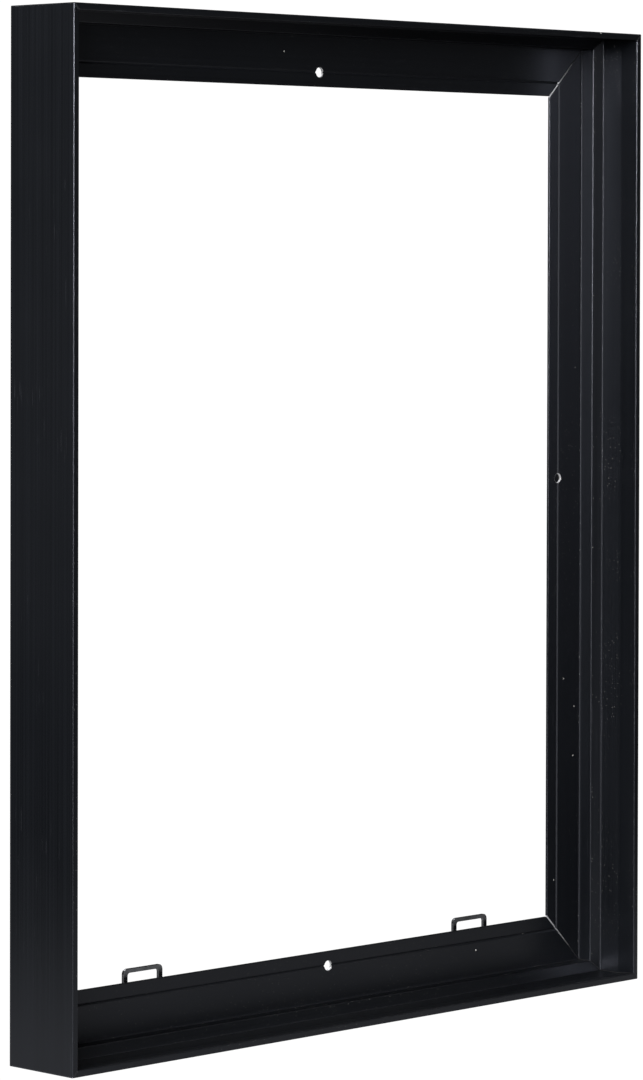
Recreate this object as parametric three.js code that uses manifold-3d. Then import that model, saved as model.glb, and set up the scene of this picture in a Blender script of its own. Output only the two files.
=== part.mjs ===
// Floating frame for a stretched canvas: four mitred lengths of one aluminium extrusion, joined at the
// corners by steel angles with set screws, and two wire hangers that slide in the back channel.
//
// Millimetres. X runs along the frame's width, Y from its front to its back, Z up. The origin is on the
// underside, in the middle of the width and of the depth.
//
// The rail's section is drawn in two coordinates: u, inward from the outer face, and v, back from the
// front edge. Every rail is the same section, turned about Y to face inward from its own side.

import * as THREE from 'three';
import { mergeVertices } from 'three/addons/utils/BufferGeometryUtils.js';
import Module from 'manifold-3d';

// ---- Driving dimensions -------------------------------------------------------------------------

// The canvas is 406.4 x 508 mm (16 x 20 in), on deep stretcher bars.
const CANVAS_WIDTH = 406.4;
const CANVAS_HEIGHT = 508;
const SEAT = 37;                // front edge to the seat that the canvas lies on
const STEP_REACH = 7.6;         // outer face to the step that centres the canvas
const CANVAS_PLAY = 0.4;        // all round, between the canvas and the step
const WIDTH = CANVAS_WIDTH + 2 * (STEP_REACH + CANVAS_PLAY);
const HEIGHT = CANVAS_HEIGHT + 2 * (STEP_REACH + CANVAS_PLAY);
const DEPTH = 46.6;

// Rail section
const LIP = 3.5;                // thickness of the front lip
const WALL = 2.2;               // thickness of the outer wall behind the lip's taper
const TAPER_END = 12.5;         // where the lip's taper has run out into the wall
const STEP_FOOT = 25.6;         // the step slopes back from the wall here, to lead the canvas in
const STEP_FRONT = 28.6;        // top edge of the step
const STEP_EDGE = 0.5;
const INNER_FILLET = 0.3;       // at the step's foot and round the seat
const SKIN = 1.4;               // thickness of the step, flange and ribs
const FLANGE = 34.3;            // outer face to the flange's inner edge
const WEB_BACK = SEAT + SKIN;
const GROOVE_AT = 26.7;         // scribed drill groove along the seat
const GROOVE_WIDTH = 1.4;
const GROOVE_DEPTH = 0.6;
const CHANNEL_INNER = 20;       // back channel: inner wall, mouth and lips
const MOUTH_OUTER = 6;
const MOUTH_INNER = 16;
const LIP_UNDER = 43;
const LIP_BACK = LIP_UNDER + SKIN;
const EDGE = 0.4;               // rounding of the edges that a hand meets
const EDGE_SMALL = 0.25;
const ARC_STEPS = 4;

// Mitres: the gap between two rails, closed at the outside and slightly open at the inside
const MITRE_GAP_OUTER = 0.3;
const MITRE_GAP_INNER = 0.9;

// Canvas screw holes, drilled on the groove: distance from the middle of each rail, towards +X or +Z
const HOLE_DIAMETER = 5.3;
const HOLE_AT = { bottom: 3.6, right: 15.9, top: -4.4, left: 9 };

// Gap that touching pieces keep
const GAP = 0.3;

// How far the shapes that cut or trim a piece reach past it
const OVERSHOOT = 1;

// Corner joint
const ANGLE_REACH = 44;         // outer face to the end of an arm
const ANGLE_EDGE = 2.6;         // outer face to the outer edge of an arm
const ANGLE_WIDTH = 17;
const ANGLE_THICKNESS = 1.6;
const ANGLE_FRONT = LIP_UNDER - GAP - ANGLE_THICKNESS;
const BACKING_EDGE = 6.4;
const BACKING_WIDTH = 12.8;
const BACKING_REACH = 42;
const BACKING_THICKNESS = ANGLE_FRONT - 2 * GAP - WEB_BACK;
const SCREW_RADIUS = 1.95;
const SCREW_LENGTH = 4.2;
const SCREW_U = (MOUTH_OUTER + MOUTH_INNER) / 2;
const SCREW_FROM_END = 9;       // screw axis to the end of its arm
const SCREW_CHAMFER = 0.4;
const SLOT_TURNS = [0.7, 2.6];  // radians: how each of a corner's two slots has come to rest
const SLOT_WIDTH = 0.7;
const SLOT_DEPTH = 1;

// Wire hangers: a stamping with a base under both lips and a loop lanced out of it
const HANGER_X = { left: -122.6, right: 122.2 };
const HANGER_BASE = 38;         // along the rail
const HANGER_THICKNESS = 1.5;
const BASE_OUTER = 2.6;
const BASE_INNER = 19.6;
const LOOP_WIDTH = 27;
const LOOP_REACH = 39.6;        // outer face to the end of the loop
const LOOP_FRONT = LIP_BACK + GAP;
const STRIP_START = 3.6;        // the strip that bends into the loop starts inside the base
const BEND_START = 8;           // the strip leaves the base here and has climbed out of the mouth here
const BEND_END = 15.3;
const BEND_RADIUS = 1.2;        // on the inside of each bend
const BEND_LEAD = 0.6;          // the strip's back face bends this much sooner than its front
const LANCE_SLIT = 0.4;
const LOOP_LEG = 2.75;
const LOOP_BAR = 2.2;
const LOOP_WINDOW_START = 22.5;
const LOOP_CORNER = 2.6;
const WINDOW_CORNER = 1.5;

// Leaf springs under the hangers
const SPRING_THICKNESS = 0.4;
const SPRING_U = 7;
const SPRING_WIDTH = 8;
const SPRING_BOW_STEPS = 16;

// ---- Materials ----------------------------------------------------------------------------------

const metal = (color, roughness, metalness) => () => new THREE.MeshStandardMaterial(
  { color, roughness, metalness });
const anodised = metal(0x1d2022, 0.45, 0.6);
const zinc = metal(0xa9adb2, 0.38, 0.9);
const nickel = metal(0xc9cacc, 0.22, 1);
const springSteel = metal(0x5a5f66, 0.35, 0.9);

// ---- Solids: joining and cutting ----------------------------------------------------------------

const wasm = await Module();
wasm.setup();

function toSolid(geometry) {
  const bare = geometry.clone();
  bare.deleteAttribute('normal');
  bare.deleteAttribute('uv');
  const merged = mergeVertices(bare, 1e-5);
  return new wasm.Manifold(new wasm.Mesh({
    numProp: 3,
    vertProperties: new Float32Array(merged.attributes.position.array),
    triVerts: new Uint32Array(merged.index.array),
  }));
}

function toGeometry(solid) {
  const mesh = solid.getMesh();
  const geometry = new THREE.BufferGeometry();
  geometry.setAttribute('position', new THREE.BufferAttribute(new Float32Array(mesh.vertProperties), 3));
  geometry.setIndex(new THREE.BufferAttribute(new Uint32Array(mesh.triVerts), 1));
  geometry.computeVertexNormals();
  return geometry;
}

const cut = (geometry, ...tools) => toGeometry(tools.reduce(
  (solid, tool) => solid.subtract(toSolid(tool)), toSolid(geometry)));

const join = (geometry, other) => toGeometry(toSolid(geometry).add(toSolid(other)));

const trim = (geometry, outline) => toGeometry(toSolid(geometry).intersect(toSolid(outline)));

// ---- Outlines -----------------------------------------------------------------------------------

// A closed outline from corners [x, y, radius]: a corner with a radius becomes a tangent arc.
function roundedOutline(corners) {
  const points = [];
  corners.forEach(([x, y, radius], i) => {
    const corner = new THREE.Vector2(x, y);
    if (!radius) {
      points.push(corner);
      return;
    }
    const previous = corners[(i + corners.length - 1) % corners.length];
    const next = corners[(i + 1) % corners.length];
    const before = new THREE.Vector2(previous[0], previous[1]).sub(corner).normalize();
    const after = new THREE.Vector2(next[0], next[1]).sub(corner).normalize();
    const halfAngle = Math.acos(THREE.MathUtils.clamp(before.dot(after), -1, 1)) / 2;
    const toCentre = before.clone().add(after).setLength(radius / Math.sin(halfAngle));
    const centre = corner.clone().add(toCentre);
    const tangent = radius / Math.tan(halfAngle);
    const start = before.clone().multiplyScalar(tangent).add(corner).sub(centre);
    const end = after.clone().multiplyScalar(tangent).add(corner).sub(centre);
    const sweep = Math.atan2(start.cross(end), start.dot(end));
    for (let step = 0; step <= ARC_STEPS; step += 1) {
      const turned = start.clone().rotateAround(new THREE.Vector2(), sweep * step / ARC_STEPS);
      points.push(turned.add(centre));
    }
  });
  return points;
}

const shapeOf = (corners) => new THREE.Shape(roundedOutline(corners));

const extrude = (shape, depth) => new THREE.ExtrudeGeometry(shape, { depth, bevelEnabled: false });

// A plate in the plane of the frame: its outline is drawn in (x, u) and it runs from v to v + thickness.
function plate(corners, v, thickness) {
  return extrude(shapeOf(corners), thickness).rotateX(Math.PI / 2).translate(0, v + thickness, 0);
}

// ---- Rails --------------------------------------------------------------------------------------

// How far back the step's sloping web goes for each millimetre inward, and its thickness along v
const stepSlope = (STEP_FRONT - STEP_FOOT) / (STEP_REACH - WALL);
const stepSkin = SKIN * Math.hypot(1, stepSlope);

const railSection = [
  [0, 0, EDGE],
  [LIP, 0, EDGE],
  [WALL, TAPER_END],
  [WALL, STEP_FOOT, INNER_FILLET],
  [STEP_REACH, STEP_FRONT, STEP_EDGE],
  [STEP_REACH, SEAT, INNER_FILLET],
  [GROOVE_AT - GROOVE_WIDTH / 2, SEAT],
  [GROOVE_AT, SEAT + GROOVE_DEPTH],
  [GROOVE_AT + GROOVE_WIDTH / 2, SEAT],
  [FLANGE, SEAT, EDGE],
  [FLANGE, WEB_BACK, EDGE_SMALL],
  [CHANNEL_INNER + SKIN, WEB_BACK, EDGE_SMALL],
  [CHANNEL_INNER + SKIN, LIP_BACK, EDGE],
  [MOUTH_INNER, LIP_BACK, EDGE],
  [MOUTH_INNER, LIP_UNDER, EDGE_SMALL],
  [CHANNEL_INNER, LIP_UNDER],
  [CHANNEL_INNER, WEB_BACK],
  [STEP_REACH - SKIN, WEB_BACK],
  [STEP_REACH - SKIN, STEP_FRONT - SKIN * stepSlope + stepSkin],
  [WALL, STEP_FOOT + stepSkin],
  [WALL, LIP_UNDER],
  [MOUTH_OUTER, LIP_UNDER, EDGE_SMALL],
  [MOUTH_OUTER, LIP_BACK, EDGE],
  [WALL, LIP_BACK, EDGE_SMALL],
  [WALL, DEPTH, EDGE],
  [0, DEPTH, EDGE],
];

// A rail in its own axes: x is u, y is v, and z runs along it, with z = 0 at its middle. Both ends are
// mitred: a point at u ends short of the outer corner by u and by its share of the gap.
function railGeometry(length, holeAt) {
  const geometry = extrude(shapeOf(railSection), 1);
  const position = geometry.attributes.position;
  for (let i = 0; i < position.count; i += 1) {
    const u = position.getX(i);
    const gap = THREE.MathUtils.lerp(MITRE_GAP_OUTER, MITRE_GAP_INNER, u / FLANGE);
    const end = length / 2 - u - gap * Math.SQRT1_2;
    position.setZ(i, position.getZ(i) > 0.5 ? end : -end);
  }
  const hole = new THREE.CylinderGeometry(HOLE_DIAMETER / 2, HOLE_DIAMETER / 2, 4 * SKIN, 40)
    .translate(GROOVE_AT, (SEAT + WEB_BACK) / 2, holeAt);
  return cut(geometry, hole);
}

// Each side's turn about Y points its x axis inward; along says which way its z axis runs.
const sides = {
  bottom: { turn: -Math.PI / 2, at: [0, 0], length: WIDTH, along: -1 },
  right: { turn: Math.PI, at: [WIDTH / 2, HEIGHT / 2], length: HEIGHT, along: -1 },
  top: { turn: Math.PI / 2, at: [0, HEIGHT], length: WIDTH, along: 1 },
  left: { turn: 0, at: [-WIDTH / 2, HEIGHT / 2], length: HEIGHT, along: 1 },
};

function addSide(name) {
  const { turn, at: [x, z], length, along } = sides[name];
  const group = new THREE.Group();
  group.position.set(x, -DEPTH / 2, z);
  group.rotation.y = turn;
  const rail = new THREE.Mesh(railGeometry(length, along * HOLE_AT[name]), anodised());
  rail.name = `rail_${name}`;
  group.add(rail);
  return group;
}

// ---- Corner joints ------------------------------------------------------------------------------

// An L-shaped plate in the corner's own axes: x and z inward from the two outer faces, y back.
function cornerPlate(edge, width, reach, v, thickness) {
  const inner = edge + width;
  return plate([
    [edge, edge, EDGE],
    [reach, edge, EDGE],
    [reach, inner, EDGE],
    [inner, inner, EDGE],
    [inner, reach, EDGE],
    [edge, reach, EDGE],
  ], v, thickness);
}

const screwPlaces = [[ANGLE_REACH - SCREW_FROM_END, SCREW_U], [SCREW_U, ANGLE_REACH - SCREW_FROM_END]];

function cornerAngleGeometry() {
  const holes = screwPlaces.map(([x, z]) => new THREE.CylinderGeometry(
    SCREW_RADIUS + GAP, SCREW_RADIUS + GAP, 3 * ANGLE_THICKNESS, 32).translate(x, ANGLE_FRONT, z));
  return cut(cornerPlate(ANGLE_EDGE, ANGLE_WIDTH, ANGLE_REACH, ANGLE_FRONT, ANGLE_THICKNESS), ...holes);
}

const backingAngleGeometry = () => cornerPlate(
  BACKING_EDGE, BACKING_WIDTH, BACKING_REACH, WEB_BACK + GAP, BACKING_THICKNESS);

// A slotted set screw, its axis along y and its point at y = 0.
function setScrewGeometry() {
  const profile = [
    [0, 0],
    [SCREW_RADIUS - SCREW_CHAMFER, 0],
    [SCREW_RADIUS, SCREW_CHAMFER],
    [SCREW_RADIUS, SCREW_LENGTH - SCREW_CHAMFER],
    [SCREW_RADIUS - SCREW_CHAMFER, SCREW_LENGTH],
    [0, SCREW_LENGTH],
  ].map(([x, y]) => new THREE.Vector2(x, y));
  const slot = new THREE.BoxGeometry(4 * SCREW_RADIUS, 2 * SLOT_DEPTH, SLOT_WIDTH)
    .translate(0, SCREW_LENGTH, 0);
  return cut(new THREE.LatheGeometry(profile, 24), slot);
}

// The corner's pieces are drawn for the bottom left corner. A turn of a quarter about Y at a time brings
// them to the next corner, and their x and z arms change places, which leaves an L the same.
const corners = {
  bottom_left: { turn: 0, at: [-WIDTH / 2, 0] },
  bottom_right: { turn: -Math.PI / 2, at: [WIDTH / 2, 0] },
  top_right: { turn: Math.PI, at: [WIDTH / 2, HEIGHT] },
  top_left: { turn: Math.PI / 2, at: [-WIDTH / 2, HEIGHT] },
};

function addCorner(name) {
  const { turn, at: [x, z] } = corners[name];
  const group = new THREE.Group();
  group.position.set(x, -DEPTH / 2, z);
  group.rotation.y = turn;
  const angle = new THREE.Mesh(cornerAngleGeometry(), zinc());
  angle.name = `corner_angle_${name}`;
  const backing = new THREE.Mesh(backingAngleGeometry(), zinc());
  backing.name = `backing_angle_${name}`;
  group.add(angle, backing);
  screwPlaces.forEach(([screwX, screwZ], i) => {
    const screw = new THREE.Mesh(setScrewGeometry(), zinc());
    screw.name = `set_screw_${name}_${i + 1}`;
    screw.position.set(screwX, ANGLE_FRONT, screwZ);
    screw.rotation.y = SLOT_TURNS[i] + turn;
    group.add(screw);
  });
  return group;
}

// ---- Wire hangers -------------------------------------------------------------------------------

// In the hanger's own axes x runs along the bottom rail, y is v and z is u.
function hangerGeometry() {
  const half = HANGER_BASE / 2;
  const slit = LOOP_WIDTH / 2 + LANCE_SLIT;
  const baseFront = LIP_UNDER - GAP - HANGER_THICKNESS;
  const base = plate([
    [-half, BASE_OUTER, EDGE],
    [half, BASE_OUTER, EDGE],
    [half, BASE_INNER, EDGE],
    [slit, BASE_INNER, EDGE],
    [slit, BEND_START],
    [-slit, BEND_START],
    [-slit, BASE_INNER, EDGE],
    [-half, BASE_INNER, EDGE],
  ], baseFront, HANGER_THICKNESS);

  // The loop's bent strip, seen from its side and extruded a little wider than the loop, then trimmed
  const side = LOOP_WIDTH / 2;
  const loopBack = LOOP_FRONT + HANGER_THICKNESS;
  const baseBack = baseFront + HANGER_THICKNESS;
  const outerBend = BEND_RADIUS + HANGER_THICKNESS;
  const strip = extrude(shapeOf([
    [STRIP_START, baseFront],
    [BEND_START, baseFront, outerBend],
    [BEND_END, LOOP_FRONT, BEND_RADIUS],
    [LOOP_REACH, LOOP_FRONT, EDGE_SMALL],
    [LOOP_REACH, loopBack, EDGE_SMALL],
    [BEND_END - BEND_LEAD, loopBack, outerBend],
    [BEND_START - BEND_LEAD, baseBack, BEND_RADIUS],
    [STRIP_START, baseBack],
  ]), 2 * (side + OVERSHOOT)).rotateY(-Math.PI / 2).translate(side + OVERSHOOT, 0, 0);
  const loopOutline = plate([
    [-side, BASE_OUTER],
    [side, BASE_OUTER],
    [side, LOOP_REACH, LOOP_CORNER],
    [-side, LOOP_REACH, LOOP_CORNER],
  ], baseFront - OVERSHOOT, loopBack - baseFront + 2 * OVERSHOOT);

  const leg = side - LOOP_LEG;
  const window = plate([
    [-leg, LOOP_WINDOW_START, WINDOW_CORNER],
    [leg, LOOP_WINDOW_START, WINDOW_CORNER],
    [leg, LOOP_REACH - LOOP_BAR, WINDOW_CORNER],
    [-leg, LOOP_REACH - LOOP_BAR, WINDOW_CORNER],
  ], LOOP_FRONT - OVERSHOOT, HANGER_THICKNESS + 2 * OVERSHOOT);

  return cut(join(base, trim(strip, loopOutline)), window);
}

// A bowed leaf: its middle presses on the web, and its ends turn up round the ends of the hanger's base.
function hangerSpringGeometry() {
  const tabInside = HANGER_BASE / 2 + GAP;
  const low = WEB_BACK + GAP;
  const high = LIP_UNDER - HANGER_THICKNESS - 2 * GAP - SPRING_THICKNESS;
  const bow = (x) => low + (high - low) * Math.sin(Math.PI * x / (2 * tabInside)) ** 2;
  const tabTop = LIP_UNDER - 2 * GAP;
  const front = [];
  const back = [];
  for (let step = -SPRING_BOW_STEPS; step <= SPRING_BOW_STEPS; step += 1) {
    const x = tabInside * step / SPRING_BOW_STEPS;
    back.push([x, bow(x) + SPRING_THICKNESS]);
    front.push([x * (tabInside + SPRING_THICKNESS) / tabInside, bow(x)]);
  }
  const outline = [
    ...front,
    [tabInside + SPRING_THICKNESS, tabTop],
    [tabInside, tabTop],
    ...back.reverse(),
    [-tabInside, tabTop],
    [-tabInside - SPRING_THICKNESS, tabTop],
  ];
  return extrude(shapeOf(outline), SPRING_WIDTH).translate(0, 0, SPRING_U);
}

function addHanger(name) {
  const group = new THREE.Group();
  group.position.set(HANGER_X[name], -DEPTH / 2, 0);
  const hanger = new THREE.Mesh(hangerGeometry(), nickel());
  hanger.name = `hanger_plate_${name}`;
  const spring = new THREE.Mesh(hangerSpringGeometry(), springSteel());
  spring.name = `hanger_spring_${name}`;
  group.add(hanger, spring);
  return group;
}

// ---- Assembly -----------------------------------------------------------------------------------

const frame = new THREE.Group();
Object.keys(sides).forEach((name) => frame.add(addSide(name)));
Object.keys(corners).forEach((name) => frame.add(addCorner(name)));
Object.keys(HANGER_X).forEach((name) => frame.add(addHanger(name)));

export default frame;
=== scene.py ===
"""Looks of the floating frame: black anodised rails, zinc-plated corner hardware and nickel-plated wire
hangers, in a white studio. Metres, in the CAD model's own frame: X right, Y back, Z up."""

import math

import bpy
from mathutils import Matrix, Vector


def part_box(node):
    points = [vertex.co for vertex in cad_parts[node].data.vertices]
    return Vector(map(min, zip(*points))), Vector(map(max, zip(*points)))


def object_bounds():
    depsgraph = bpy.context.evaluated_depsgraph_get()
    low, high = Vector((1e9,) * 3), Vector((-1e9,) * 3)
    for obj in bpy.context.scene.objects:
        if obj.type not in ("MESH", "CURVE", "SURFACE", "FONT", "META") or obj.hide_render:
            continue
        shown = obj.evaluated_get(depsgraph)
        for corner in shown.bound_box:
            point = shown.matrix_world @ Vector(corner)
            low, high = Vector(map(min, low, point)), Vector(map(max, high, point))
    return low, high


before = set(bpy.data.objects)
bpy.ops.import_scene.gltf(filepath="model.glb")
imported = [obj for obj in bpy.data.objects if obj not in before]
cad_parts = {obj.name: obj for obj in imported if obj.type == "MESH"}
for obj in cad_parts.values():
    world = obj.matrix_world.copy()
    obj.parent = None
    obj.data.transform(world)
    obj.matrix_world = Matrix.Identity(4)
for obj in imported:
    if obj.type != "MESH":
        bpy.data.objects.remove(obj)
cad_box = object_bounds()
LOW, HIGH = cad_box

# ---- Camera -------------------------------------------------------------------------------------

CAMERA_AT = Vector((-1.6491, -1.6133, 0.4021))
CAMERA_YAW = math.radians(45.343)       # turned right from +Y
CAMERA_PITCH = math.radians(1.118)      # tilted down
CAMERA_ROLL = math.radians(0.143)       # turned anticlockwise
CAMERA_LENS_MM = 146.92
CAMERA_SENSOR_MM = 36
CAMERA_SHIFT_Y = -0.1852
CAMERA_CLIP = (0.05, 50)


def make_camera():
    data = bpy.data.cameras.new("camera")
    data.sensor_width = CAMERA_SENSOR_MM
    data.lens = CAMERA_LENS_MM
    data.shift_y = CAMERA_SHIFT_Y
    data.clip_start, data.clip_end = CAMERA_CLIP
    camera = bpy.data.objects.new("camera", data)
    bpy.context.scene.collection.objects.link(camera)
    camera.location = CAMERA_AT
    turn = Matrix.Rotation(-CAMERA_YAW, 4, "Z")
    tilt = Matrix.Rotation(math.pi / 2 - CAMERA_PITCH, 4, "X")
    roll = Matrix.Rotation(CAMERA_ROLL, 4, "Z")
    camera.rotation_euler = (turn @ tilt @ roll).to_euler()
    bpy.context.scene.camera = camera


make_camera()

# ---- Node helpers -------------------------------------------------------------------------------


class Nodes:
    """A short way to write a node tree."""

    def __init__(self, tree):
        self.tree = tree

    def add(self, kind, **settings):
        node = self.tree.nodes.new(kind)
        for key, value in settings.items():
            setattr(node, key, value)
        return node

    def link(self, source, target):
        if isinstance(source, bpy.types.NodeSocket):
            self.tree.links.new(source, target)
        else:
            target.default_value = source

    def math(self, operation, a, b=0.0):
        node = self.add("ShaderNodeMath", operation=operation)
        self.link(a, node.inputs[0])
        self.link(b, node.inputs[1])
        return node.outputs[0]

    def vector(self, operation, a, b=(0, 0, 0)):
        node = self.add("ShaderNodeVectorMath", operation=operation)
        self.link(a, node.inputs[0])
        self.link(b, node.inputs[1])
        gives_number = operation in ("DISTANCE", "DOT_PRODUCT", "LENGTH")
        return node.outputs["Value"] if gives_number else node.outputs[0]

    def scaled(self, vector, factor):
        node = self.add("ShaderNodeVectorMath", operation="SCALE")
        self.link(vector, node.inputs[0])
        self.link(factor, node.inputs["Scale"])
        return node.outputs[0]

    def split(self, vector):
        node = self.add("ShaderNodeSeparateXYZ")
        self.link(vector, node.inputs[0])
        return node.outputs

    def ramp(self, value, low, high, to_low=0.0, to_high=1.0):
        node = self.add("ShaderNodeMapRange", clamp=True)
        self.link(value, node.inputs["Value"])
        node.inputs["From Min"].default_value = low
        node.inputs["From Max"].default_value = high
        node.inputs["To Min"].default_value = to_low
        node.inputs["To Max"].default_value = to_high
        return node.outputs["Result"]

    def mixed(self, data_type, sockets, output, values):
        node = self.add("ShaderNodeMix", data_type=data_type)
        for value, socket in zip(values, sockets):
            self.link(value, node.inputs[socket])
        return node.outputs[output]

    def mix(self, factor, a, b):
        return self.mixed("FLOAT", (0, 2, 3), 0, (factor, a, b))

    def mix_vector(self, factor, a, b):
        return self.mixed("VECTOR", (0, 4, 5), 1, (factor, a, b))

    def mix_color(self, factor, a, b):
        return self.mixed("RGBA", (0, 6, 7), 2, (factor, a, b))


class Surface(Nodes):
    """An object material, with textures that lie in the object's own coordinates."""

    def __init__(self, name):
        self.material = bpy.data.materials.new(name)
        self.material.use_nodes = True
        super().__init__(self.material.node_tree)
        self.shader = self.tree.nodes["Principled BSDF"]
        self.object_coords = self.add("ShaderNodeTexCoord").outputs["Object"]
        self.geometry = self.add("ShaderNodeNewGeometry")

    def coords(self, scale, offset=(0, 0, 0)):
        return self.vector("ADD", self.vector("MULTIPLY", self.object_coords, scale), offset)

    def noise(self, scale, detail=3.0, offset=(0, 0, 0)):
        node = self.add("ShaderNodeTexNoise")
        self.link(self.coords(scale, offset), node.inputs["Vector"])
        node.inputs["Scale"].default_value = 1.0
        node.inputs["Detail"].default_value = detail
        node.inputs["Roughness"].default_value = 0.55
        return node.outputs["Fac"]

    def bump(self, height, strength, distance, normal=None):
        node = self.add("ShaderNodeBump")
        node.inputs["Strength"].default_value = strength
        node.inputs["Distance"].default_value = distance
        self.link(height, node.inputs["Height"])
        if normal is not None:
            self.link(normal, node.inputs["Normal"])
        return node.outputs["Normal"]

    def specks(self, density, share, size, offset):
        """Round dots, one at most in each cell of a grid, in this share of the cells."""
        node = self.add("ShaderNodeTexVoronoi", feature="F1")
        self.link(self.coords((density,) * 3, offset), node.inputs["Vector"])
        node.inputs["Scale"].default_value = 1.0
        dot = self.ramp(node.outputs["Distance"], size * density, size * density * 0.6)
        chosen = self.math("LESS_THAN", self.split(node.outputs["Color"])[0], share)
        return self.math("MULTIPLY", dot, chosen)

    def rounded(self, radius):
        """The normal with its edges rounded, and a mask that is near 1 along them."""
        node = self.add("ShaderNodeBevel", samples=4)
        node.inputs["Radius"].default_value = radius
        along = self.vector("DOT_PRODUCT", node.outputs[0], self.geometry.outputs["True Normal"])
        return node.outputs[0], self.ramp(along, 0.97, 0.8)

    def openness(self, reach):
        """1 on flat faces and outer edges, and 0 down in the inner corners."""
        node = self.add("ShaderNodeAmbientOcclusion", samples=4, only_local=True)
        node.inputs["Distance"].default_value = reach
        return self.ramp(node.outputs["AO"], 0.72, 0.92)


# ---- Black anodised aluminium -------------------------------------------------------------------

ANODISED = (0.0016, 0.0020, 0.0027)
# Lighter colour along the edges: partly rubbed wear and scratches, partly a painted highlight
ANODISED_EDGE_HIGHLIGHT_AND_WEAR = (0.020, 0.021, 0.023, 1)
SPECULAR_TINT = (0.84, 0.87, 1.0, 1)
DUST = (0.60, 0.59, 0.56, 1)
BARE_ALUMINIUM = (0.78, 0.78, 0.79, 1)
EDGE_RADIUS = 0.0005
INNER_CORNER_REACH = 0.0015
IOR_FACE = 1.5
IOR_EDGE = 2.6              # rubbed edges catch the light
ROUGH_EDGE = 0.22
ROUGH_INNER_CORNER = 0.6
ROUGH_DUST = 0.75
ROUGH_BARE = 0.42
METALLIC_BARE = 0.85

# How far in from the rail's outer face
MITRE_SHADED_TO = 0.0155       # up to here the sawn mitre face is painted near black, a painted shade in the tight gap
MITRE_BARE_FROM = 0.023          # and from here it shows its bare metal
STEP_REACH = 0.0076         # the step's edge; dust lodges along it
WIPED_CLEAN = 0.0003        # the outer face carries no dust
HOLE_RADIUS = 0.00275       # a little over the drilled hole's own


def hole_centre(rail, along):
    """A drilled hole's rim is the only geometry away from a rail's mitred ends."""
    low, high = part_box(rail.name)
    margin = 0.25 * (high[along] - low[along])
    first, last = low[along] + margin, high[along] - margin
    rim = [v.co for v in rail.data.vertices if first < v.co[along] < last]
    return sum(rim, Vector()) / len(rim)


def distance_inward(n):
    """How far a point lies in from the frame's nearest outer face, seen from the front."""
    x, _, z = n.split(n.object_coords)
    from_side = n.math("SUBTRACT", HIGH.x, n.math("ABSOLUTE", x))
    from_end = n.math("MINIMUM", n.math("SUBTRACT", z, LOW.z), n.math("SUBTRACT", HIGH.z, z))
    return n.math("MINIMUM", from_side, from_end)


def bare_metal(n, rail, along, inward):
    """A mask of the sawn mitre faces, bare where the gap is wide and faded out as painted shade where it
    is tight, and of the drilled hole's wall.
    """
    nx, _, nz = n.split(n.geometry.outputs["True Normal"])
    sawn = n.math("GREATER_THAN", n.math("ABSOLUTE", n.math("MULTIPLY", nx, nz)), 0.4)
    ragged = n.math("ADD", inward, n.ramp(n.noise((900,) * 3, 1.0), 0.3, 0.7, -0.002, 0.002))
    # Painted shade: the sawn face keeps nearly the anodised colour where the mitre gap is tight
    sawn = n.math("MULTIPLY", sawn, n.ramp(ragged, MITRE_SHADED_TO, MITRE_BARE_FROM, 0.03, 1.0))
    centre = hole_centre(rail, along)
    from_axis = n.vector("DISTANCE", n.coords((1, 0, 1)), (centre.x, 0, centre.z))
    return n.math("MAXIMUM", sawn, n.math("LESS_THAN", from_axis, HOLE_RADIUS))


def dust_mask(n, inward, dustiness, offset):
    """Single grains, drifts of fine ones and more along the step, wiped off the outer faces."""
    drifts = n.ramp(n.noise((17,) * 3, offset=offset), 0.44, 0.66, 0.0, 0.3 * dustiness)
    from_step = n.math("ABSOLUTE", n.math("SUBTRACT", inward, STEP_REACH))
    lodged = n.math("MULTIPLY", n.ramp(from_step, 0.0005, 0.0016, 1.0, 0.0),
                    n.ramp(n.noise((55,) * 3, offset=offset), 0.42, 0.54, 0.0, dustiness))
    fine = n.math("MULTIPLY", n.specks(640, 0.45, 0.00022, offset), n.math("MAXIMUM", drifts, lodged))
    dust = n.math("MAXIMUM", n.specks(130, 0.16 * dustiness, 0.0005, offset), fine)
    return n.math("MULTIPLY", dust, n.math("GREATER_THAN", inward, WIPED_CLEAN))


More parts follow.
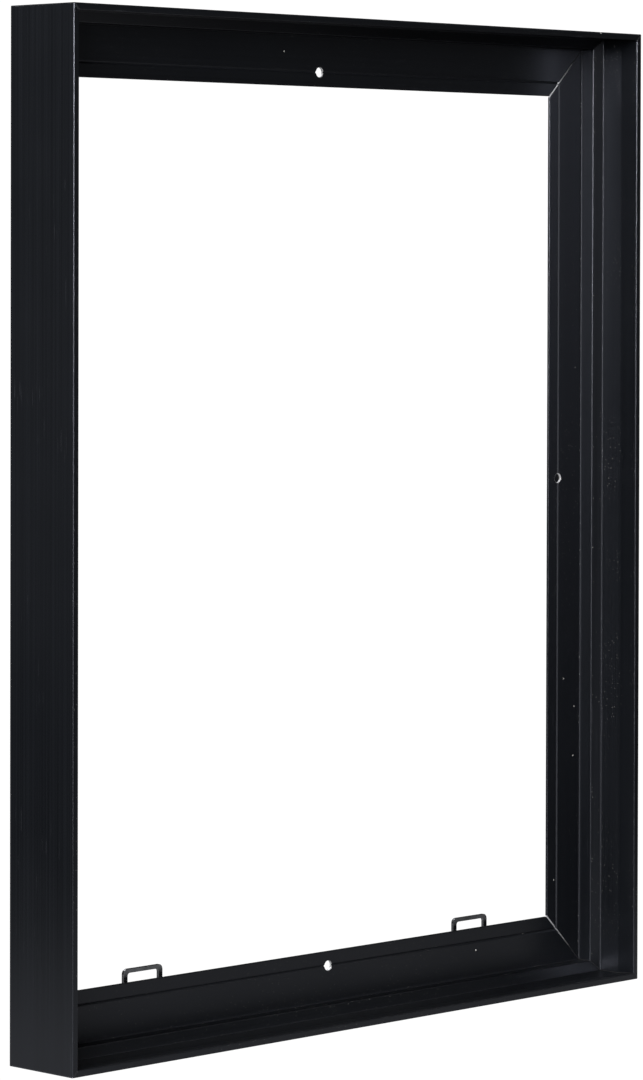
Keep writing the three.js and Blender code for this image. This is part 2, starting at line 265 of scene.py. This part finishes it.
def anodised(rail, along, dustiness, seed):
    """Satin black anodising, with extrusion streaks along the rail's own axis: 0 for X, 2 for Z."""
    n = Surface(f"anodised_{rail.name}")
    offset = (seed * 7.3, seed * 3.1, seed * 5.7)

    def stretch(lengthways, across):
        return tuple(lengthways if axis == along else across for axis in range(3))

    streaks = n.noise(stretch(3, 1300), 2.0, offset)
    fine_streaks = n.noise(stretch(18, 5200), 1.0, offset)
    etch = n.noise((4200,) * 3, 1.0)
    cloud = n.noise((11,) * 3, offset=offset)
    hairlines = n.ramp(n.noise(stretch(40, 2600), 0.0, offset), 0.78, 0.82)
    patches = n.ramp(n.noise((26,) * 3, 2.0, offset), 0.52, 0.62)
    scratches = n.math("MULTIPLY", hairlines, patches)

    inward = distance_inward(n)
    bare = bare_metal(n, rail, along, inward)
    dust = dust_mask(n, inward, dustiness, offset)
    soft_normal, edge = n.rounded(EDGE_RADIUS)
    is_open = n.openness(INNER_CORNER_REACH)
    edge = n.math("MULTIPLY", edge, is_open)
    # Edges lighter in colour: partly a painted highlight along the edges, partly patchy rubbed wear and
    # hairline scratches
    edge_highlight_and_wear = n.math("MULTIPLY", edge, n.ramp(n.noise((160,) * 3, offset=offset), 0.45, 0.66, 0.15, 1.0))
    edge_highlight_and_wear = n.math("MAXIMUM", edge_highlight_and_wear, n.math("MULTIPLY", scratches, 0.15))

    color = n.mix_color(edge_highlight_and_wear, n.scaled(ANODISED, n.ramp(streaks, 0.3, 0.7, 0.75, 1.25)), ANODISED_EDGE_HIGHLIGHT_AND_WEAR)
    color = n.mix_color(dust, color, DUST)
    n.link(n.mix_color(bare, color, BARE_ALUMINIUM), n.shader.inputs["Base Color"])
    n.link(n.math("MULTIPLY", bare, METALLIC_BARE), n.shader.inputs["Metallic"])

    satin = n.math("ADD", n.ramp(streaks, 0.25, 0.75, 0.29, 0.37), n.ramp(cloud, 0.3, 0.7, -0.03, 0.03))
    rough = n.mix(is_open, ROUGH_INNER_CORNER, n.mix(edge, satin, ROUGH_EDGE))
    rough = n.mix(n.math("MAXIMUM", dust, scratches), rough, ROUGH_DUST)
    n.link(n.mix(bare, rough, ROUGH_BARE), n.shader.inputs["Roughness"])
    n.link(n.mix(edge, IOR_FACE, IOR_EDGE), n.shader.inputs["IOR"])
    n.shader.inputs["Specular Tint"].default_value = SPECULAR_TINT

    height = n.math("ADD", n.math("MULTIPLY", fine_streaks, 0.6), n.math("MULTIPLY", etch, 0.4))
    normal = n.mix_vector(is_open, n.geometry.outputs["Normal"], soft_normal)
    n.link(n.bump(height, 0.2, 0.00002, normal), n.shader.inputs["Normal"])
    return n.material


# ---- Plated steel -------------------------------------------------------------------------------

# Lighter colour along the plates' edges: a painted highlight
PLATE_EDGE_HIGHLIGHT = (0.80, 0.80, 0.81, 1)
PIT = (0.05, 0.045, 0.04, 1)
PLATE_EDGE_RADIUS = 0.0003


def plated(name, color, tarnish, roughness, grain_scale=(3000, 3000, 90)):
    """Plated sheet steel: a faint brushed grain, cloudy plating with a darker film, and a painted
    highlight along the edges.
    """
    n = Surface(name)
    cloud = n.noise((90,) * 3, 4.0)
    grain = n.noise(grain_scale, 2.0)
    pits = n.specks(1500, 0.12, 0.00013, (3, 1, 4))
    _, edge = n.rounded(PLATE_EDGE_RADIUS)
    shade = n.mix_color(n.ramp(cloud, 0.35, 0.65), (*color, 1), (*tarnish, 1))
    # Painted highlight along the edges
    shade = n.mix_color(n.math("MULTIPLY", edge, 0.8), shade, PLATE_EDGE_HIGHLIGHT)
    shade = n.mix_color(n.math("MULTIPLY", pits, 0.7), shade, PIT)
    n.link(shade, n.shader.inputs["Base Color"])
    n.shader.inputs["Metallic"].default_value = 1
    rough = n.math("ADD", n.ramp(cloud, 0.3, 0.7, roughness - 0.05, roughness + 0.08),
                   n.ramp(grain, 0.3, 0.7, -0.04, 0.04))
    n.link(rough, n.shader.inputs["Roughness"])
    n.link(n.bump(grain, 0.15, 0.00002), n.shader.inputs["Normal"])
    return n.material


# ---- Materials on the CAD nodes -----------------------------------------------------------------

# Each rail's own axis, and how dusty it is
rails = {
    "rail_top": (0, 0.25),
    "rail_right": (2, 1.0),
    "rail_bottom": (0, 0.5),
    "rail_left": (2, 0.6),
}
zinc = plated("zinc_plate", (0.60, 0.62, 0.66), (0.44, 0.45, 0.46), 0.38)
nickel = plated("nickel_plate", (0.22, 0.225, 0.24), (0.11, 0.113, 0.12), 0.27,
                grain_scale=(60, 3200, 3200))
spring_steel = plated("spring_steel", (0.20, 0.21, 0.23), (0.12, 0.13, 0.17), 0.3)


def set_material(node, material):
    node.data.materials.clear()
    node.data.materials.append(material)


for seed, (name, (along, dustiness)) in enumerate(rails.items()):
    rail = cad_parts[name]
    set_material(rail, anodised(rail, along, dustiness, seed))

for name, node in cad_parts.items():
    if name.startswith("hanger_plate"):
        set_material(node, nickel)
    elif name.startswith("hanger_spring"):
        set_material(node, spring_steel)
    elif name not in rails:
        set_material(node, zinc)

# ---- Studio -------------------------------------------------------------------------------------

SEEN_WHITE = 1.05           # radiance of the backdrop and the floor where the camera sees them

# What the object sees instead: a dark room, and a floor lit near the frame and far off
ROOM_GLOW = 0.045
FLOOR_NEAR_GLOW = 0.42
FLOOR_NEAR_REACH = (0.30, 0.70)
FLOOR_FAR_GLOW = 0.20
FLOOR_FAR_START = (1.8, 2.6)
FLOOR_REACH = 12.0


def emission_by_ray(n, glow):
    """White to the camera; to the object, only this glow."""
    seen = n.add("ShaderNodeLightPath").outputs["Is Camera Ray"]
    emission = n.add("ShaderNodeEmission")
    n.link(n.mix(seen, glow, SEEN_WHITE), emission.inputs["Strength"])
    return emission.outputs[0]


def make_floor():
    r = FLOOR_REACH
    mesh = bpy.data.meshes.new("floor")
    mesh.from_pydata([(-r, -r, 0), (r, -r, 0), (r, r, 0), (-r, r, 0)], [], [(0, 1, 2, 3)])
    floor = bpy.data.objects.new("floor", mesh)
    bpy.context.scene.collection.objects.link(floor)
    material = bpy.data.materials.new("floor_white")
    material.use_nodes = True
    n = Nodes(material.node_tree)
    n.tree.nodes.remove(n.tree.nodes["Principled BSDF"])
    away = n.vector("LENGTH", n.add("ShaderNodeTexCoord").outputs["Object"])
    glow = n.math("ADD", n.ramp(away, *FLOOR_NEAR_REACH, FLOOR_NEAR_GLOW, 0.0),
                  n.ramp(away, *FLOOR_FAR_START, 0.0, FLOOR_FAR_GLOW))
    n.link(emission_by_ray(n, glow), n.tree.nodes["Material Output"].inputs["Surface"])
    mesh.materials.append(material)


def make_world():
    world = bpy.data.worlds.new("studio")
    bpy.context.scene.world = world
    world.use_nodes = True
    n = Nodes(world.node_tree)
    n.tree.nodes.clear()
    n.link(emission_by_ray(n, ROOM_GLOW), n.add("ShaderNodeOutputWorld").inputs["Surface"])


def add_softbox(name, azimuth, elevation, distance, size, radiance):
    """A soft light in a compass direction from the frame's middle: azimuth 0 is +X and 90 is +Y."""
    a, e = math.radians(azimuth), math.radians(elevation)
    away = Vector((math.cos(a) * math.cos(e), math.sin(a) * math.cos(e), math.sin(e)))
    data = bpy.data.lights.new(name, "AREA")
    data.shape = "RECTANGLE"
    data.size, data.size_y = size
    data.energy = math.pi * size[0] * size[1] * radiance
    light = bpy.data.objects.new(name, data)
    bpy.context.scene.collection.objects.link(light)
    light.location = (LOW + HIGH) / 2 + away * distance
    light.rotation_euler = away.to_track_quat("Z", "Y").to_euler()
    light.visible_camera = False


make_floor()
make_world()
add_softbox("key_by_camera", -142, 10, 2.6, (0.4, 0.4), 78)
add_softbox("side", -162, 16, 2.6, (1.45, 0.55), 52)
add_softbox("front_card", -82, 22, 2.6, (1.6, 2.0), 0.4)
add_softbox("back_fill", 84, 30, 2.8, (2.0, 1.2), 4)
add_softbox("right_fill", -5, 35, 2.8, (1.2, 1.2), 0.8)
bpy.context.scene.view_settings.view_transform = "Standard"
